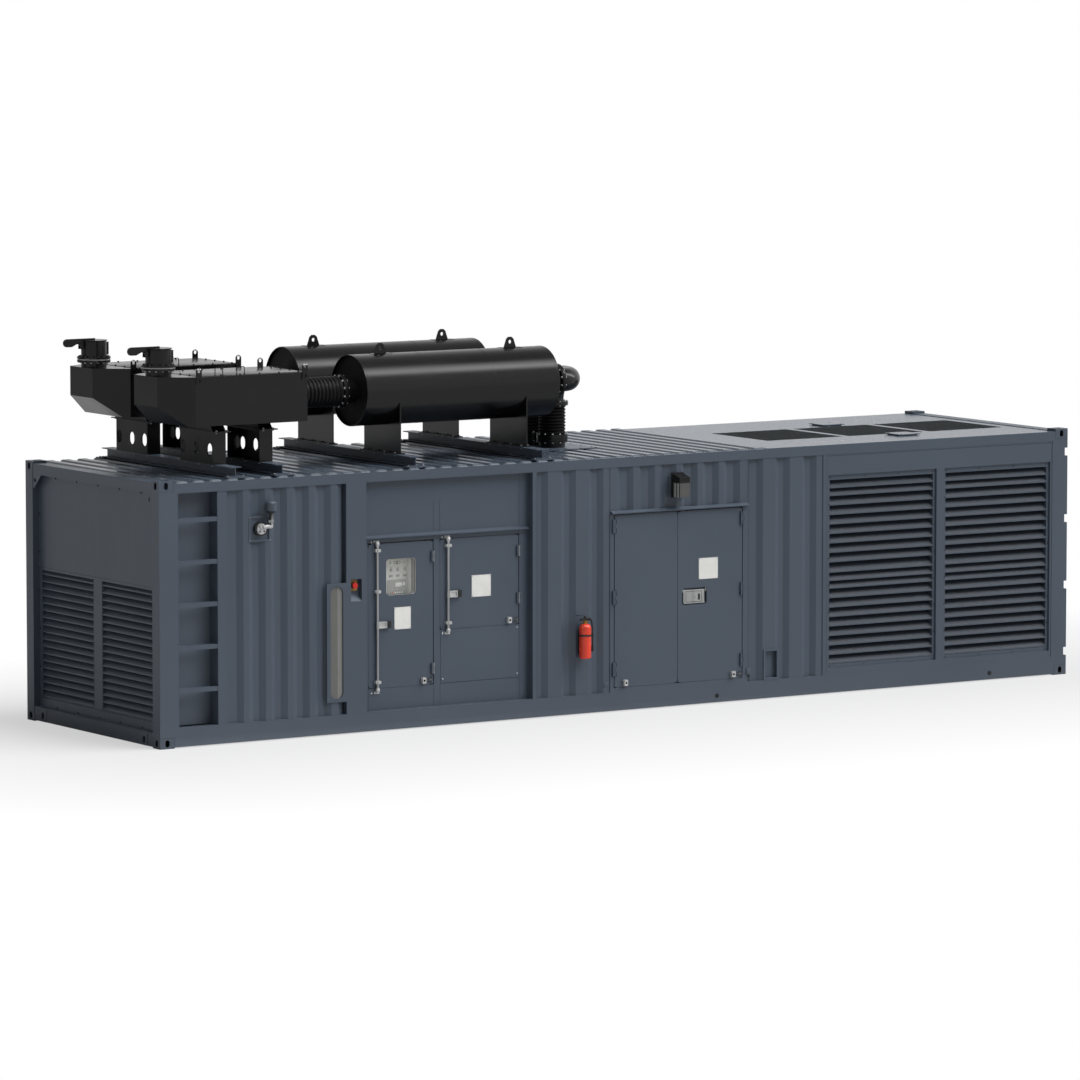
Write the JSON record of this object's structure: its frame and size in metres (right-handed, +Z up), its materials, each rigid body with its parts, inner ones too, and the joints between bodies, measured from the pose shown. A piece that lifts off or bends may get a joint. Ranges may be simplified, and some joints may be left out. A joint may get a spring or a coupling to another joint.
{
  "type": "containerised diesel generator set",
  "caption": "Wide-body container power plant with louvred radiator end, control bay, double doors and roof-mounted exhaust silencers.",
  "frame": {"origin": "centre of the container's footprint, at the underside of the corner castings", "axes": "+X along the container to the radiator end, -Y out of the equipment side with the doors, +Z up"},
  "size_m": [12.192, 3.151, 4.282],
  "materials": {
    "container_paint": "slate blue-grey semi-gloss paint",
    "floor_steel": "dark floor paint",
    "grille_steel": "painted steel",
    "bare_steel": "zinc-plated steel",
    "stop_red": "red push button on a yellow base",
    "extinguisher_red": "gloss red enamel",
    "panel_grey": "light grey cabinet paint",
    "window_glass": "clear pane",
    "lamp_black": "black housing",
    "exhaust_black": "black heat-resistant satin paint"
  },
  "bodies": {
    "container": {"corner_castings": "container_paint", "corner_posts": "container_paint", "base_rails": "container_paint", "floor_bearers": "floor_steel", "floor_deck": "floor_steel", "top_rails": "container_paint", "roof_sheet": "container_paint", "discharge_deck": "container_paint", "discharge_grilles": "grille_steel", "ladder_bay": "container_paint", "ladder_rungs": "grille_steel", "fuel_bay_wall": "container_paint", "fuel_vent": "bare_steel", "level_gauge": "container_paint", "service_post": "container_paint", "stop_button": "stop_red", "control_header": "container_paint", "control_jambs": "container_paint", "control_lower_panels": "container_paint", "drip_rails": "container_paint", "control_panel": "panel_grey", "mid_wall": "container_paint", "fire_extinguisher": "extinguisher_red", "engine_jambs": "container_paint", "engine_sill": "container_paint", "engine_header": "container_paint", "wall_lamp": "lamp_black", "right_wall": "container_paint", "drain_hatch": "container_paint", "radiator_frames": "container_paint", "radiator_louvres": "container_paint", "back_wall": "container_paint", "intake_end_wall": "container_paint", "intake_louvres": "container_paint", "radiator_end_wall": "container_paint", "support_beams": "container_paint", "box_supports": "exhaust_black", "outlet_boxes": "exhaust_black", "silencers": "exhaust_black", "silencer_saddles": "exhaust_black", "exhaust_bellows": "exhaust_black", "exhaust_elbows": "exhaust_black", "riser_curb": "grille_steel"},
    "control_door": {"control_door": "container_paint", "control_window": "window_glass"},
    "control_lock_bar": {"control_lock_bar": "bare_steel"},
    "breaker_door": {"breaker_door": "container_paint"},
    "breaker_lock_bar": {"breaker_lock_bar": "bare_steel"},
    "engine_door_left": {"engine_door_left": "container_paint"},
    "engine_door_right": {"engine_door_right": "container_paint"},
    "door_latch": {"door_latch": "bare_steel"},
    "front_rain_cap": {"front_rain_cap": "exhaust_black"},
    "back_rain_cap": {"back_rain_cap": "exhaust_black"}
  },
  "joints": [
    {"name": "control_door_hinge", "type": "hinge", "parent": "container", "child": "control_door", "pos_m": [-2.589, -1.426, 1.262], "axis": [0, 0, 1], "range_deg": [0, 95]},
    {"name": "control_lock_bar_turn", "type": "hinge", "parent": "control_door", "child": "control_lock_bar", "pos_m": [-3.321, -1.436, 1.165], "axis": [0, 0, -1], "range_deg": [0, 90]},
    {"name": "breaker_door_hinge", "type": "hinge", "parent": "container", "child": "breaker_door", "pos_m": [-1.47, -1.426, 1.565], "axis": [0, 0, 1], "range_deg": [0, 95]},
    {"name": "breaker_lock_bar_turn", "type": "hinge", "parent": "breaker_door", "child": "breaker_lock_bar", "pos_m": [-2.406, -1.436, 1.453], "axis": [0, 0, -1], "range_deg": [0, 90]},
    {"name": "engine_door_left_hinge", "type": "hinge", "parent": "container", "child": "engine_door_left", "pos_m": [-0.252, -1.516, 1.242], "axis": [0, 0, -1], "range_deg": [0, 100]},
    {"name": "engine_door_right_hinge", "type": "hinge", "parent": "container", "child": "engine_door_right", "pos_m": [1.482, -1.516, 1.242], "axis": [0, 0, 1], "range_deg": [0, 100]},
    {"name": "door_latch_pull", "type": "hinge", "parent": "engine_door_right", "child": "door_latch", "pos_m": [0.83, -1.478, 1.31], "axis": [-1, 0, 0], "range_deg": [0, 40]},
    {"name": "front_rain_cap_pivot", "type": "hinge", "parent": "container", "child": "front_rain_cap", "pos_m": [-5.815, -0.72, 4.215], "axis": [0, -1, 0], "range_deg": [0, 60]},
    {"name": "back_rain_cap_pivot", "type": "hinge", "parent": "container", "child": "back_rain_cap", "pos_m": [-5.815, 0.72, 4.215], "axis": [0, -1, 0], "range_deg": [0, 60]}
  ]
}
